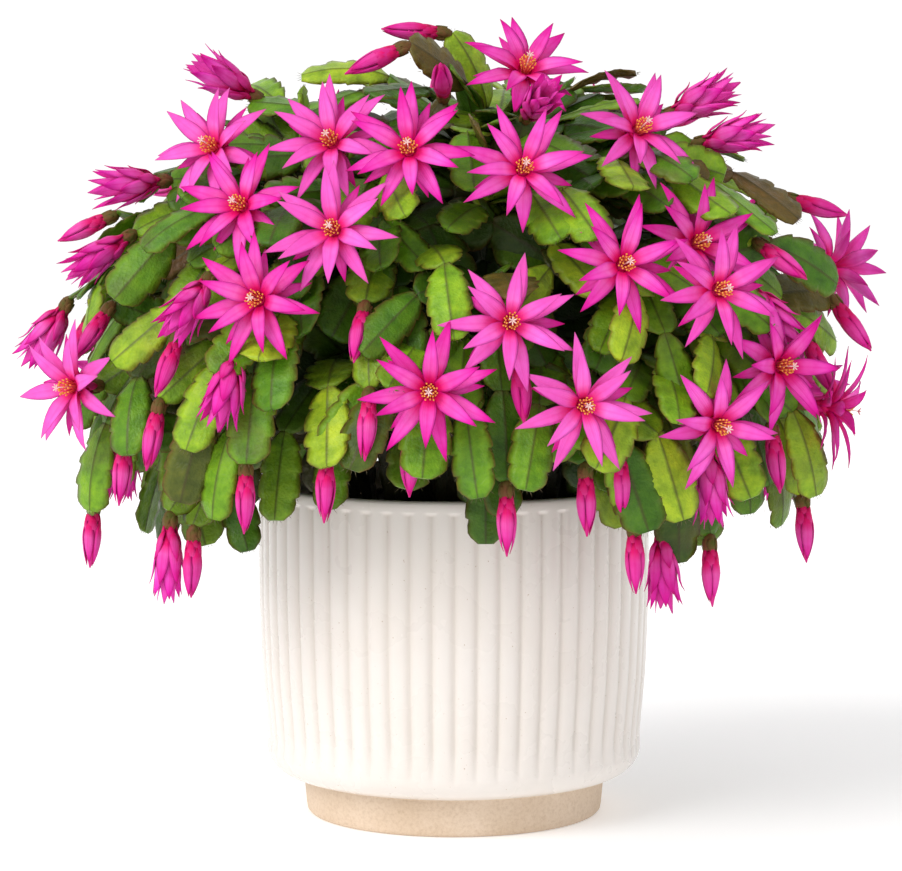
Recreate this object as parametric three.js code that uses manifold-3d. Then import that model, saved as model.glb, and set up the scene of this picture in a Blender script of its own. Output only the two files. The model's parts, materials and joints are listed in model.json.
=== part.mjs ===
// An easter cactus in full bloom, in its ribbed stoneware pot.
//
// Units are millimetres, +Z is up, and the origin is the centre of the pot's underside. The
// side that faces -Y is the front. The pot, the soil, every rooted cane and every open bloom
// are separate closed solids. Buds, and blooms that are only starting to open, are grown on
// to their cane and are part of its solid.

import * as THREE from 'three';
import { mergeVertices } from 'three/addons/utils/BufferGeometryUtils.js';
import Module from 'manifold-3d';

const wasm = await Module();
wasm.setup();

// ---------------------------------------------------------------- driving dimensions

const POT_HEIGHT = 144;
const POT_RADIUS = 84;
const POT_WALL = 4.5;
const FOOT_RADIUS = 64;
const FOOT_HEIGHT = 16.5;
const RIB_COUNT = 56;
const RIB_DEPTH = 0.9;
const SOIL_TOP = 131;
const SOIL_COLUMNS = 48;

const DOME_RADIUS = 188;        // how far the widest blooms stand from the pot's axis
const DOME_DEPTH = 0.86;        // the crown is a little flatter from front to back
const DOME_WAIST = 190;         // height at which the crown is widest
const DOME_RISE = 150;          // from the waist to the top of the crown
const SKIRT_DROP = 100;         // from the waist to the lowest hanging buds
const SKIRT_TUCK = 0.25;        // share of the radius that the skirt draws in by

const PAD_LENGTH = 38;
const PAD_WIDTH = 24;
const STEM_THICKNESS = 3.2;
const SHOOT_THICKNESS = 2.4;    // the young side shoots are thinner than the stem
const BLOOM_RADIUS = 27;
const VALLEY_RADIUS = 11;         // where two neighbouring petals part
const BLOOM_LENGTH = 30;
const BLOOM_PETALS = 8;
const BUD_LENGTH = 31;
const BUD_RADIUS = 4.6;
const BUD_COLUMNS = 5;
const OPENING_RADIUS = 9;
const SET_BACK = 10;            // how far buds stand behind the faces of the blooms
const GAP = 0.3;                // clearance between neighbouring solids
const ROOM = 0.5;               // how far a shape is thickened to keep its neighbours clear
const WELD = 0.001;             // vertices nearer to each other than this are one vertex

const DEGREE = Math.PI / 180;
const UP = new THREE.Vector3(0, 0, 1);

// ---------------------------------------------------------------- the tips of the canes

// Each tip stands on the dome at an azimuth (0 at the front, positive to the right) and a
// height. Buds are set back a little, so that their shoots pass behind the open blooms.
// Options: out, how far the tip stands out of the dome; faceAzimuth and faceElevation, where
// a bloom looks; rootAzimuth and rise, where the stem is rooted and how high it arches.
const tip = (kind, azimuth, height, out, options) => ({ kind, azimuth, height, out, ...options });
const bloom = (azimuth, height, options) => tip('bloom', azimuth, height, 0, options);
const opening = (azimuth, height, options) => tip('opening', azimuth, height, -SET_BACK, options);
const bud = (azimuth, height, options) => tip('bud', azimuth, height, -SET_BACK, options);
const DEEP = { out: -20 };

// One row is one rooted cane. Its stem runs to the first tip, and shoots fork off to the rest.
const CANES = [
  // the front and the flanks, from left to right
  [opening(-97, 209), bud(-98, 252)],
  [bloom(-59, 191), bud(-61, 156, DEEP), bud(-80, 123), bud(-64, 212, DEEP)],
  [bloom(-47, 291, { rootAzimuth: -75 }), opening(-63, 273), opening(-60, 246), opening(-77, 314)],
  [opening(-47, 126), bud(-51, 158), bud(-43, 121)],
  [bloom(-33, 268, { rootAzimuth: -43 }), bloom(-26, 231), opening(-37, 229)],
  [opening(-30, 198, { rootAzimuth: -26, rise: 78 }), bud(-40, 203), bud(-43, 174), bud(-29, 151)],
  [bloom(-22, 294, { rootAzimuth: -22 }), bloom(-7, 291, { out: 12 }), bud(-3, 315)],
  [bloom(22, 325, { rootAzimuth: 100 }), bud(-22, 336, { out: 0 }), bud(-20, 324, { out: 0 })],
  [bloom(-17, 259, { rootAzimuth: -6 }), bud(-13, 217, DEEP), bud(-11, 182)],
  [bloom(-3, 196), bud(-17, 157), bud(-6, 167, DEEP), bud(2, 169, DEEP)],
  [bloom(11, 283, { rootAzimuth: 24 }), opening(17, 305)],
  [bloom(7, 223), bud(9, 195, DEEP), bud(7, 144)],
  [bloom(16, 190), bud(19, 150, DEEP), bud(24, 157, DEEP)],
  [bloom(33, 235, { out: 16 }), bloom(23, 245), bloom(40, 252, { out: -14 })],
  [bloom(37, 299, { rootAzimuth: 64 }), opening(61, 292), opening(66, 306), bud(53, 243)],
  [bloom(46, 202), opening(51, 223, DEEP), bud(70, 215), bud(64, 199, DEEP)],
  [bloom(35, 179), opening(39, 158, DEEP), opening(35, 123, DEEP), bud(27, 126), bud(43, 117)],
  [bloom(61, 181, { faceAzimuth: 85, faceElevation: -8 }), bud(65, 130), bud(53, 162, DEEP)],
  // the back, from right to left
  [bloom(104, 236), bud(88, 262), bud(98, 178, DEEP)],
  [bloom(122, 178), opening(114, 146, DEEP), bud(130, 138, DEEP)],
  [bloom(134, 246), opening(126, 222, DEEP)],
  [bloom(148, 292), bud(120, 300)],
  [bloom(156, 176), bud(150, 138, DEEP), bud(166, 132, DEEP)],
  [bloom(172, 232), opening(162, 204, DEEP), bud(180, 190, DEEP)],
  [bloom(204, 288, { rootAzimuth: 215 }), bud(184, 312), opening(226, 282)],
  [bloom(198, 170), bud(190, 134, DEEP), opening(208, 140, DEEP)],
  [bloom(214, 238), bud(222, 206, DEEP)],
  [bloom(236, 182), bud(230, 144, DEEP), opening(246, 150, DEEP)],
  [opening(244, 238), bud(237, 268), bud(250, 200)],
];

// ---------------------------------------------------------------- helpers

function direction(azimuth, elevation) {
  const a = azimuth * DEGREE;
  const e = elevation * DEGREE;
  return new THREE.Vector3(
    Math.sin(a) * Math.cos(e),
    -Math.cos(a) * Math.cos(e),
    Math.sin(e),
  );
}

// A value read off a short chart of [height, value] pairs.
function readChart(chart, height) {
  for (let i = 1; i < chart.length; i += 1) {
    const [h0, v0] = chart[i - 1];
    const [h1, v1] = chart[i];
    if (height <= h1 || i === chart.length - 1) {
      return THREE.MathUtils.lerp(v0, v1, THREE.MathUtils.clamp((height - h0) / (h1 - h0), 0, 1));
    }
  }
  return chart[0][1];
}

const DROOP = [[120, 85], [150, 74], [200, 50], [250, 14], [290, -22], [330, -55]];
const BLOOM_TILT = [[150, -24], [190, 2], [240, 10], [290, 20], [330, 42]];
const ROOT_RADIUS = [[120, 63], [200, 50], [260, 33], [300, 23], [325, 2]];

function domePoint(azimuth, height) {
  const above = (height - DOME_WAIST) / DOME_RISE;
  const below = (DOME_WAIST - height) / SKIRT_DROP;
  const share = height < DOME_WAIST
    ? 1 - SKIRT_TUCK * below * below
    : Math.sqrt(Math.max(0, 1 - above * above));
  const a = azimuth * DEGREE;
  const r = DOME_RADIUS * share;
  return new THREE.Vector3(r * Math.sin(a), -DOME_DEPTH * r * Math.cos(a), height);
}

function solidOf(geometry, matrix = new THREE.Matrix4()) {
  const bare = geometry.clone();
  bare.deleteAttribute('normal');
  bare.deleteAttribute('uv');
  bare.applyMatrix4(matrix);
  const merged = mergeVertices(bare, WELD);
  return new wasm.Manifold(new wasm.Mesh({
    numProp: 3,
    vertProperties: merged.attributes.position.array,
    triVerts: new Uint32Array(merged.index.array),
  }));
}

function geometryOf(solid) {
  const mesh = solid.getMesh();
  const geometry = new THREE.BufferGeometry();
  geometry.setAttribute('position', new THREE.BufferAttribute(mesh.vertProperties, 3));
  geometry.setIndex(new THREE.BufferAttribute(mesh.triVerts, 1));
  geometry.computeVertexNormals();
  return geometry;
}

// A frame whose Z axis runs along an axis, for the turned shapes.
function axisMatrix(origin, axis) {
  const turn = new THREE.Quaternion().setFromUnitVectors(UP, axis);
  return new THREE.Matrix4().makeRotationFromQuaternion(turn).setPosition(origin);
}

// LatheGeometry turns about Y, so its shapes are laid over to stand along Z.
function turned(profile, columns) {
  const points = profile.map(([r, h]) => new THREE.Vector2(r, h));
  return new THREE.LatheGeometry(points, columns).rotateX(Math.PI / 2);
}

// ---------------------------------------------------------------- pot and soil

function makePot() {
  const inner = POT_RADIUS - POT_WALL;
  const floor = FOOT_HEIGHT - 2;
  const profile = [
    [0, 0], [FOOT_RADIUS - 0.6, 0], [FOOT_RADIUS + 1, FOOT_HEIGHT],
    [POT_RADIUS - 8, FOOT_HEIGHT + 4], [POT_RADIUS - 3.4, FOOT_HEIGHT + 18],
    [POT_RADIUS - 0.6, FOOT_HEIGHT + 56], [POT_RADIUS, POT_HEIGHT - 5],
    [POT_RADIUS - 1.2, POT_HEIGHT], [inner, POT_HEIGHT],
    [inner - 8, FOOT_HEIGHT + 8], [inner - 24, floor], [0, floor],
  ];
  const geometry = turned(profile, 2 * RIB_COUNT);
  const place = geometry.attributes.position;
  const ribFrom = FOOT_HEIGHT + 12;
  const ribTo = POT_HEIGHT - 4;
  for (let i = 0; i < place.count; i += 1) {
    const [x, y, z] = [place.getX(i), place.getY(i), place.getZ(i)];
    const r = Math.hypot(x, y);
    if (r > inner + 0.9 && z > ribFrom && z < ribTo) {
      const wave = RIB_DEPTH * Math.cos(RIB_COUNT * Math.atan2(y, x));
      place.setXY(i, x * (1 + wave / r), y * (1 + wave / r));
    }
  }
  return solidOf(geometry);
}

function makeSoil() {
  const floor = FOOT_HEIGHT - 2 + GAP;
  const inner = POT_RADIUS - POT_WALL - 1.5;
  return solidOf(turned([
    [0, floor], [inner - 24, floor], [inner - 8, FOOT_HEIGHT + 9],
    [inner - 0.6, SOIL_TOP], [0, SOIL_TOP],
  ], SOIL_COLUMNS));
}

// ---------------------------------------------------------------- blooms and buds

// Ovary, tube and a star of pointed petals, all on the Z axis with the ovary's base at 0.
function bloomGeometry() {
  const profile = [[0, 0], [4, 6], [3, 14], [BLOOM_RADIUS, BLOOM_LENGTH], [5, 25], [0, 22]];
  const geometry = turned(profile, 2 * BLOOM_PETALS);
  const place = geometry.attributes.position;
  for (let i = 0; i < place.count; i += 1) {
    const [x, y] = [place.getX(i), place.getY(i)];
    const r = Math.hypot(x, y);
    const isValley = Math.cos(BLOOM_PETALS * Math.atan2(y, x)) < 0;
    if (r > BLOOM_RADIUS - 1 && isValley) {
      const inwards = VALLEY_RADIUS / r;
      place.setXYZ(i, x * inwards, y * inwards, BLOOM_LENGTH - 7);
    }
  }
  return geometry;
}

function spindleGeometry(radius) {
  return turned([[0, 0], [3.4, 3], [radius, 0.45 * BUD_LENGTH], [0, BUD_LENGTH]], BUD_COLUMNS);
}

function bloomAxis(spot) {
  const azimuth = spot.faceAzimuth ?? facingAzimuth(spot.azimuth);
  return direction(azimuth, spot.faceElevation ?? readChart(BLOOM_TILT, spot.height));
}

// Blooms turn part of the way to the light, which comes from the front or from the back.
function facingAzimuth(azimuth) {
  const middle = azimuth > 100 ? 180 : 0;
  return middle + 0.65 * (azimuth - middle);
}

function budAxis(spot) {
  return direction(spot.azimuth, -Math.min(86, readChart(DROOP, spot.height) + 12));
}

// Where the stem has to end so that the flower or bud on it stands at its spot.
function stemEnd(spot) {
  const back = spot.kind === 'bloom' ? BLOOM_LENGTH - 4 : BUD_LENGTH / 2;
  const axis = spot.kind === 'bloom' ? bloomAxis(spot) : budAxis(spot);
  const out = direction(spot.azimuth, 0).multiplyScalar(spot.out);
  return domePoint(spot.azimuth, spot.height).add(out).addScaledVector(axis, -back);
}

// ---------------------------------------------------------------- pads and stems

// The outline of one flat stem segment, as [share of its length, share of its width].
const PAD_OUTLINE = [[0, 0.42], [0.5, 1]];
const WOODY_OUTLINE = [[0, 0.46]];
const WOODY_SHARE = 0.34;       // the part of a main stem whose old pads are narrow and woody

const padCount = (curve) => Math.max(1, Math.round(curve.getLength() / PAD_LENGTH));

// A chain of pads is one strip: narrow at every joint and full in between, bent along a curve.
function stripStations(curve, count, isMain) {
  const stations = [];
  for (let k = 0; k < count; k += 1) {
    const isWoody = isMain && k / count < WOODY_SHARE;
    (isWoody ? WOODY_OUTLINE : PAD_OUTLINE).forEach(([part, share]) => {
      stations.push({ at: (k + part) / count, width: PAD_WIDTH * share });
    });
  }
  stations.push({ at: 1, width: PAD_WIDTH * 0.4 });
  return stations.map(({ at, width }) => {
    const point = curve.getPointAt(at);
    const along = curve.getTangentAt(at);
    const outward = new THREE.Vector3(point.x, point.y, 0).normalize().multiplyScalar(0.6).add(UP);
    const side = new THREE.Vector3().crossVectors(along, outward).normalize();
    const face = new THREE.Vector3().crossVectors(side, along);
    return { point, side, face, width };
  });
}

function stripGeometry(curve, isMain) {
  const thickness = isMain ? STEM_THICKNESS : SHOOT_THICKNESS;
  const stations = stripStations(curve, padCount(curve), isMain);
  const last = stations.length - 1;
  const geometry = new THREE.BoxGeometry(1, last, 1, 1, last, 1);
  const place = geometry.attributes.position;
  const moved = new THREE.Vector3();
  for (let i = 0; i < place.count; i += 1) {
    const index = Math.round(place.getY(i) + last / 2);
    const { point, side, face, width } = stations[index];
    moved.copy(point);
    moved.addScaledVector(side, place.getX(i) * width);
    moved.addScaledVector(face, place.getZ(i) * thickness);
    place.setXYZ(i, moved.x, moved.y, moved.z);
  }
  return geometry;
}

// The main stem rises out of the soil and arches over to its tip.
function stemCurve(root, end, height, rise) {
  const flat = end.clone().sub(root).setZ(0);
  const reach = flat.length();
  flat.normalize();
  const droop = readChart(DROOP, height) * DEGREE;
  const heading = flat.clone().multiplyScalar(Math.cos(droop)).setZ(-Math.sin(droop));
  const lean = root.clone().addScaledVector(flat, 0.08 * reach).addScaledVector(UP, rise);
  const approach = end.clone().addScaledVector(heading, -0.34 * end.distanceTo(root));
  return new THREE.CubicBezierCurve3(root, lean, approach, end);
}

// A side shoot leaves a joint of the stem and bends over to its own tip.
function shootCurve(joint, heading, end, spot) {
  const span = joint.distanceTo(end);
  const axis = direction(spot.azimuth, -readChart(DROOP, spot.height));
  const leave = joint.clone().addScaledVector(heading, 0.3 * span);
  const arrive = end.clone().addScaledVector(axis, -0.3 * span);
  return new THREE.CubicBezierCurve3(joint, leave, arrive, end);
}

// ---------------------------------------------------------------- growing the plant

// Every shape that is placed is kept in a thickened form, and the next ones are trimmed by it.
const grownSolids = [];

function boxOf(solid) {
  const { min, max } = solid.boundingBox();
  return new THREE.Box3(new THREE.Vector3(...min), new THREE.Vector3(...max));
}

const joined = (solids) => solids.reduce((all, next) => all.add(next));

// Keeps a shape, thickened by copies of itself that are shifted a little each way.
function keepClear(geometry, owner, matrix = new THREE.Matrix4()) {
  const shifts = [-ROOM, ROOM].flatMap((by) => [[by, 0, 0], [0, by, 0], [0, 0, by]]);
  const solid = joined(shifts.map((shift) => {
    const moved = new THREE.Matrix4().makeTranslation(...shift).multiply(matrix);
    return solidOf(geometry, moved);
  }));
  grownSolids.push({ solid, owner, box: boxOf(solid) });
}

function nearby(solid, owner) {
  const box = boxOf(solid);
  return grownSolids.filter((other) => other.owner !== owner && other.box.intersectsBox(box));
}

// The main body of a solid, still one body once its vertices are welded.
function mainBody(solid) {
  let bodies = solid.decompose();
  while (bodies.length > 1) {
    bodies.sort((a, b) => b.volume() - a.volume());
    bodies = solidOf(geometryOf(bodies[0])).decompose();
  }
  return bodies[0];
}

// The solid without what its neighbours already hold, and without any crumb that leaves.
function trimmed(solid, owner) {
  let result = solid;
  nearby(solid, owner).forEach((other) => {
    result = result.subtract(other.solid);
  });
  return mainBody(solidOf(geometryOf(mainBody(result))));
}

function makeBlooms() {
  const blooms = [];
  CANES.forEach((spots) => {
    spots.filter((spot) => spot.kind === 'bloom').forEach((spot) => {
      const owner = `bloom_${String(blooms.length + 1).padStart(2, '0')}`;
      const matrix = axisMatrix(stemEnd(spot), bloomAxis(spot));
      blooms.push({ name: owner, solid: trimmed(solidOf(bloomGeometry(), matrix), owner) });
      keepClear(bloomGeometry(), owner, matrix);
    });
  });
  return blooms;
}

function rootPoint(spots) {
  const azimuth = spots[0].rootAzimuth ?? spots[0].azimuth;
  const radius = readChart(ROOT_RADIUS, spots[0].height);
  const root = direction(azimuth, 0).multiplyScalar(radius);
  return root.setZ(SOIL_TOP - 4);
}

// A bud, or a bloom that is only starting to open, stands on the end of its shoot.
const flowerGeometry = (spot) => spindleGeometry(spot.kind === 'bud' ? BUD_RADIUS : OPENING_RADIUS);
const flowerMatrix = (spot) => axisMatrix(stemEnd(spot), budAxis(spot));

// A side shoot leaves the stem at the joint that is nearest to its tip and not below it.
function forkShare(curve, count, end) {
  let best = null;
  for (let k = Math.ceil(count * WOODY_SHARE); k < count; k += 1) {
    const joint = curve.getPointAt(k / count);
    const distance = joint.distanceTo(end);
    const cost = distance + 3 * Math.max(0, end.z - joint.z) + (distance < 26 ? 100 : 0);
    if (best === null || cost < best.cost) best = { share: k / count, cost };
  }
  return best.share;
}

// The curves of one cane: its main stem, and the side shoots that fork off it.
function caneCurves(spots) {
  const end = stemEnd(spots[0]);
  const rise = spots[0].rise ?? 75 + 0.55 * (end.z - SOIL_TOP);
  const stem = stemCurve(rootPoint(spots), end, spots[0].height, rise);
  const count = padCount(stem);
  const shoots = spots.slice(1).map((spot) => {
    const share = forkShare(stem, count, stemEnd(spot));
    const joint = stem.getPointAt(share);
    const heading = stemEnd(spot).sub(joint).normalize().add(stem.getTangentAt(share));
    return shootCurve(joint, heading.normalize(), stemEnd(spot), spot);
  });
  return [stem, ...shoots];
}

function growCane(spots, index) {
  const owner = `cane_${String(index + 1).padStart(2, '0')}`;
  const shapes = caneCurves(spots).map((curve, i) => ({
    geometry: stripGeometry(curve, i === 0),
    matrix: new THREE.Matrix4(),
  }));
  spots.filter((spot) => spot.kind !== 'bloom').forEach((spot) => {
    shapes.push({ geometry: flowerGeometry(spot), matrix: flowerMatrix(spot) });
  });
  const whole = joined(shapes.map(({ geometry, matrix }) => solidOf(geometry, matrix)));
  const earth = new THREE.BoxGeometry(400, 400, 40).translate(0, 0, SOIL_TOP + GAP - 20);
  const solid = trimmed(whole.subtract(solidOf(earth)), owner);
  shapes.forEach(({ geometry, matrix }) => keepClear(geometry, owner, matrix));
  return { name: owner, solid };
}

// ---------------------------------------------------------------- the part

function addPiece(group, name, solid, color, roughness) {
  const material = new THREE.MeshStandardMaterial({ color, roughness, metalness: 0 });
  const mesh = new THREE.Mesh(geometryOf(solid), material);
  mesh.name = name;
  group.add(mesh);
}

const plant = new THREE.Group();
addPiece(plant, 'pot', makePot(), '#eee6dc', 0.35);
addPiece(plant, 'soil', makeSoil(), '#2b211a', 0.95);
const blooms = makeBlooms();
CANES.forEach((spots, index) => {
  const cane = growCane(spots, index);
  addPiece(plant, cane.name, cane.solid, '#5d8a34', 0.5);
});
blooms.forEach((flower) => addPiece(plant, flower.name, flower.solid, '#ee4fc0', 0.55));

export default plant;
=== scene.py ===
# %% [markdown]
# # An easter cactus in bloom, in a ribbed stoneware pot
#
# The plant is a crown of arching stems made of flat green pads. At the end of nearly every
# stem stands a magenta star, a half-open flower or a bud. It grows in a cream pot with soft
# vertical ribs and a bare clay foot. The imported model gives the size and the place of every
# solid, and this lesson gives each of them its real surface.

# %% Load the frame
import functools
import json
import math

import bpy
import numpy as np
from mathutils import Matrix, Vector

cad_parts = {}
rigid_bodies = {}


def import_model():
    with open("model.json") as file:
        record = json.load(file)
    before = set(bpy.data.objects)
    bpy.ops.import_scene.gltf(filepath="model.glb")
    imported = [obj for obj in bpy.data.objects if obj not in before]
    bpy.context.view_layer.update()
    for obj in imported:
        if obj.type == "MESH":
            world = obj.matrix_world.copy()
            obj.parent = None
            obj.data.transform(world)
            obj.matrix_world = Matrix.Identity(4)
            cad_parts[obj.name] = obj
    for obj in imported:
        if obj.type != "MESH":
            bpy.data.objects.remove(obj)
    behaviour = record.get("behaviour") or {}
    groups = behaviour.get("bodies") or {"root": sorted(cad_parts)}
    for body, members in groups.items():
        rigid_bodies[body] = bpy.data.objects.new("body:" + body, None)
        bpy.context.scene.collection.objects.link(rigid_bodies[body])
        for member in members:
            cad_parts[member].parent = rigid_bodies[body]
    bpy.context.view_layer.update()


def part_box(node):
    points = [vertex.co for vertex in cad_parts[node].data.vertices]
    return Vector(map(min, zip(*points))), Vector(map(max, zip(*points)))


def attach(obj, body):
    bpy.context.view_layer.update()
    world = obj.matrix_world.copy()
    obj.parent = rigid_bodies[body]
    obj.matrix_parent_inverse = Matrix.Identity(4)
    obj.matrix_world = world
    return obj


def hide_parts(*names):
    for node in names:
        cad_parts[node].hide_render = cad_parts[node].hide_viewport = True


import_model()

MM = 0.001

# %% [markdown]
# ## Camera and light
#
# A long lens from a metre and a half away keeps the pot's sides nearly parallel. The plant is
# seen from a little above its rim, so that the rim shows as a flat ellipse. The light is high
# and soft: a broad sun at the left front for shape, a pale sky all round for the shadows.

# %% Camera
LENS_MM = 139.2
EYE = (-0.0013, -1.5, 0.313)
AIM = (-0.0013, 0.0, 0.163)

scene = bpy.context.scene
scene.view_settings.view_transform = "Standard"
camera_data = bpy.data.cameras.new("camera")
camera_data.lens = LENS_MM
camera_data.sensor_width = 36.0
camera = bpy.data.objects.new("camera", camera_data)
scene.collection.objects.link(camera)
camera.location = EYE
camera.rotation_euler = (math.atan2(AIM[1] - EYE[1], EYE[2] - AIM[2]), 0.0, 0.0)
scene.camera = camera
print("camera tilt", round(math.degrees(camera.rotation_euler.x) - 90.0, 2), "degrees")

# %% [markdown]
# The sky is one plain colour that fills every shadow. A broad, soft sun from the left front
# gives the leaves their sheen and lets the pot darken towards the right. Behind the plant
# stands a glowing white panel, the way a studio lights its background on its own.


# %% Sky and sun
SKY_STRENGTH = 0.72
SUN_STRENGTH = 1.75
SUN_FROM = (-0.62, -0.56, 0.62)
SUN_SPREAD = 40.0
SUN_COLOUR = (1.0, 0.985, 0.965)
WHITE = (1.0, 1.0, 1.0)
BLACK = (0.0, 0.0, 0.0)


def wire(tree, node, values):
    """Numbers and colours are set on the node's sockets, anything else is linked to them."""
    for name, value in values.items():
        socket = node.inputs[name]
        if isinstance(value, (int, float)):
            socket.default_value = value
        elif isinstance(value, tuple):
            socket.default_value = (*value, 1.0)
        else:
            tree.links.new(value, socket)


world = bpy.data.worlds.new("sky")
scene.world = world
world.use_nodes = True
background = world.node_tree.nodes["Background"]
wire(world.node_tree, background, {"Color": WHITE, "Strength": SKY_STRENGTH})

sun = bpy.data.lights.new("soft sun", "SUN")
sun.energy = SUN_STRENGTH
sun.angle = math.radians(SUN_SPREAD)
sun.color = SUN_COLOUR
sun_object = bpy.data.objects.new("soft sun", sun)
scene.collection.objects.link(sun_object)
flat_reach = math.hypot(SUN_FROM[0], SUN_FROM[1])
sun_object.rotation_euler = (
    math.atan2(flat_reach, SUN_FROM[2]), 0.0, math.atan2(SUN_FROM[0], -SUN_FROM[1]))


# %% Floor and background panel
def node_material(name):
    material = bpy.data.materials.new(name)
    material.use_nodes = True
    return material, material.node_tree, material.node_tree.nodes["Principled BSDF"]


def stage_plane(name, corners, material):
    mesh = bpy.data.meshes.new(name)
    mesh.from_pydata(corners, [], [(0, 1, 2, 3)])
    mesh.materials.append(material)
    plane = bpy.data.objects.new(name, mesh)
    scene.collection.objects.link(plane)


FLOOR_REACH = 12.0
FLOOR_GLOW = 0.2
PANEL_BACK = 2.6
PANEL_HALF = 1.3

paper, paper_tree, paper_shader = node_material("white paper")
wire(paper_tree, paper_shader, {
    "Base Color": (0.96, 0.96, 0.96), "Roughness": 0.95, "Specular IOR Level": 0.1,
    "Emission Color": WHITE, "Emission Strength": FLOOR_GLOW})
r = FLOOR_REACH
stage_plane("floor", [(-r, -r, 0), (r, -r, 0), (r, r, 0), (-r, r, 0)], paper)

glow, glow_tree, glow_shader = node_material("glowing panel")
wire(glow_tree, glow_shader, {
    "Base Color": BLACK, "Emission Color": WHITE, "Emission Strength": 1.0})
w = PANEL_HALF
stage_plane("background panel", [(-w, PANEL_BACK, 0), (w, PANEL_BACK, 0),
                                 (w, PANEL_BACK, 2 * w), (-w, PANEL_BACK, 2 * w)], glow)

# %% [markdown]
# ## Where everything grows
#
# The crown is a dome. Every flower and bud stands on it at an azimuth (0 at the front, positive
# to the right) and a height, the same way that the solid model places them. Each row is one
# rooted cane: its stem runs to the first tip, and shoots fork off the stem to the other tips.

# %% The canes and their tips
POT_HIGH = np.array(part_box("pot")[1]) / MM
SOIL_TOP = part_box("soil")[1][2] / MM
DOME_RADIUS = 188.0
DOME_DEPTH = 0.86
DOME_WAIST = 190.0
DOME_RISE = 150.0
SKIRT_DROP = 100.0
SKIRT_TUCK = 0.25
SET_BACK = 10.0
PAD_LENGTH = 38.0
VISIBLE_WIDTH = 18.5
BLOOM_LENGTH = 30.0
BUD_LENGTH = 31.0
WOODY_SHARE = 0.34


def tip(kind, azimuth, height, out=None, **options):
    usual = 0.0 if kind == "bloom" else -SET_BACK
    return {"kind": kind, "azimuth": azimuth, "height": height,
            "out": usual if out is None else out, **options}


bloom = functools.partial(tip, "bloom")
opening = functools.partial(tip, "opening")
bud = functools.partial(tip, "bud")

DEEP = -20.0
CANES = [
    [opening(-97, 209), bud(-98, 252)],
    [bloom(-59, 191), bud(-61, 156, DEEP), bud(-80, 123), bud(-64, 212, DEEP)],
    [bloom(-47, 291, root=-75), opening(-63, 273), opening(-60, 246), opening(-77, 314)],
    [opening(-47, 126), bud(-51, 158), bud(-43, 121)],
    [bloom(-33, 268, root=-43), bloom(-26, 231), opening(-37, 229)],
    [opening(-30, 198, root=-26, rise=78), bud(-40, 203), bud(-43, 174), bud(-29, 151)],
    [bloom(-22, 294, root=-22), bloom(-7, 291, 12), bud(-3, 315)],
    [bloom(22, 325, root=100), bud(-22, 336, 0, point=(-80, 4)), bud(-22, 324, 0, point=(-80, -24))],
    [bloom(-17, 259, root=-6), bud(-13, 217, DEEP), bud(-11, 182)],
    [bloom(-3, 196), bud(-17, 157), bud(-6, 167, DEEP), bud(2, 169, DEEP)],
    [bloom(11, 283, root=24), opening(17, 305)],
    [bloom(7, 223), bud(9, 195, DEEP), bud(7, 144)],
    [bloom(16, 190), bud(19, 150, DEEP), bud(24, 157, DEEP)],
    [bloom(33, 235, 16), bloom(23, 245), bloom(40, 252, -14)],
    [bloom(37, 299, root=64), opening(61, 292), opening(66, 306), bud(53, 243)],
    [bloom(46, 202), opening(51, 223, DEEP), bud(70, 215), bud(64, 199, DEEP)],
    [bloom(35, 179), opening(39, 158, DEEP), opening(35, 123, DEEP), bud(27, 126), bud(43, 117)],
    [bloom(61, 181, face=85, look=-8), bud(65, 130), bud(53, 162, DEEP)],
    [bloom(104, 236), bud(88, 262), bud(98, 178, DEEP)],
    [bloom(122, 178), opening(114, 146, DEEP), bud(130, 138, DEEP)],
    [bloom(134, 246), opening(126, 222, DEEP)],
    [bloom(148, 292), bud(120, 300)],
    [bloom(156, 176), bud(150, 138, DEEP), bud(166, 132, DEEP)],
    [bloom(172, 232), opening(162, 204, DEEP), bud(180, 190, DEEP)],
    [bloom(204, 288, root=215), bud(184, 312), opening(226, 282)],
    [bloom(198, 170), bud(190, 134, DEEP), opening(208, 140, DEEP)],
    [bloom(214, 238), bud(222, 206, DEEP)],
    [bloom(236, 182), bud(230, 144, DEEP), opening(246, 150, DEEP)],
    [opening(244, 238), bud(237, 268), bud(250, 200)],
]
print("canes:", len(CANES), "tips:", sum(len(row) for row in CANES))

# %% [markdown]
# A few short charts say how the plant changes with height: high shoots still climb while low
# ones hang, high blooms look up while low ones look down, and the outer canes are the low ones.

# %% Charts and directions
DROOP = ((120, 150, 200, 250, 290, 330), (85, 74, 50, 14, -22, -55))
BLOOM_TILT = ((150, 190, 240, 290, 330), (-24, 2, 10, 20, 42))
ROOT_RADIUS = ((120, 200, 260, 300, 325), (63, 50, 33, 23, 2))
FACE_SHARE = 0.65
BUD_NOD = 12.0
STEEPEST = 86.0
BLOOM_OVERLAP = 4.0
UP = np.array([0.0, 0.0, 1.0])


def chart(table, height):
    return float(np.interp(height, table[0], table[1]))


def direction(azimuth, elevation):
    a = math.radians(azimuth)
    e = math.radians(elevation)
    return np.array([math.sin(a) * math.cos(e), -math.cos(a) * math.cos(e), math.sin(e)])


def unit(vector):
    return vector / max(np.linalg.norm(vector), 1e-9)


def dome_point(azimuth, height):
    if height < DOME_WAIST:
        share = 1.0 - SKIRT_TUCK * ((DOME_WAIST - height) / SKIRT_DROP) ** 2
    else:
        share = math.sqrt(max(0.0, 1.0 - ((height - DOME_WAIST) / DOME_RISE) ** 2))
    a = math.radians(azimuth)
    radius = DOME_RADIUS * share
    return np.array([radius * math.sin(a), -DOME_DEPTH * radius * math.cos(a), height])


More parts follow.
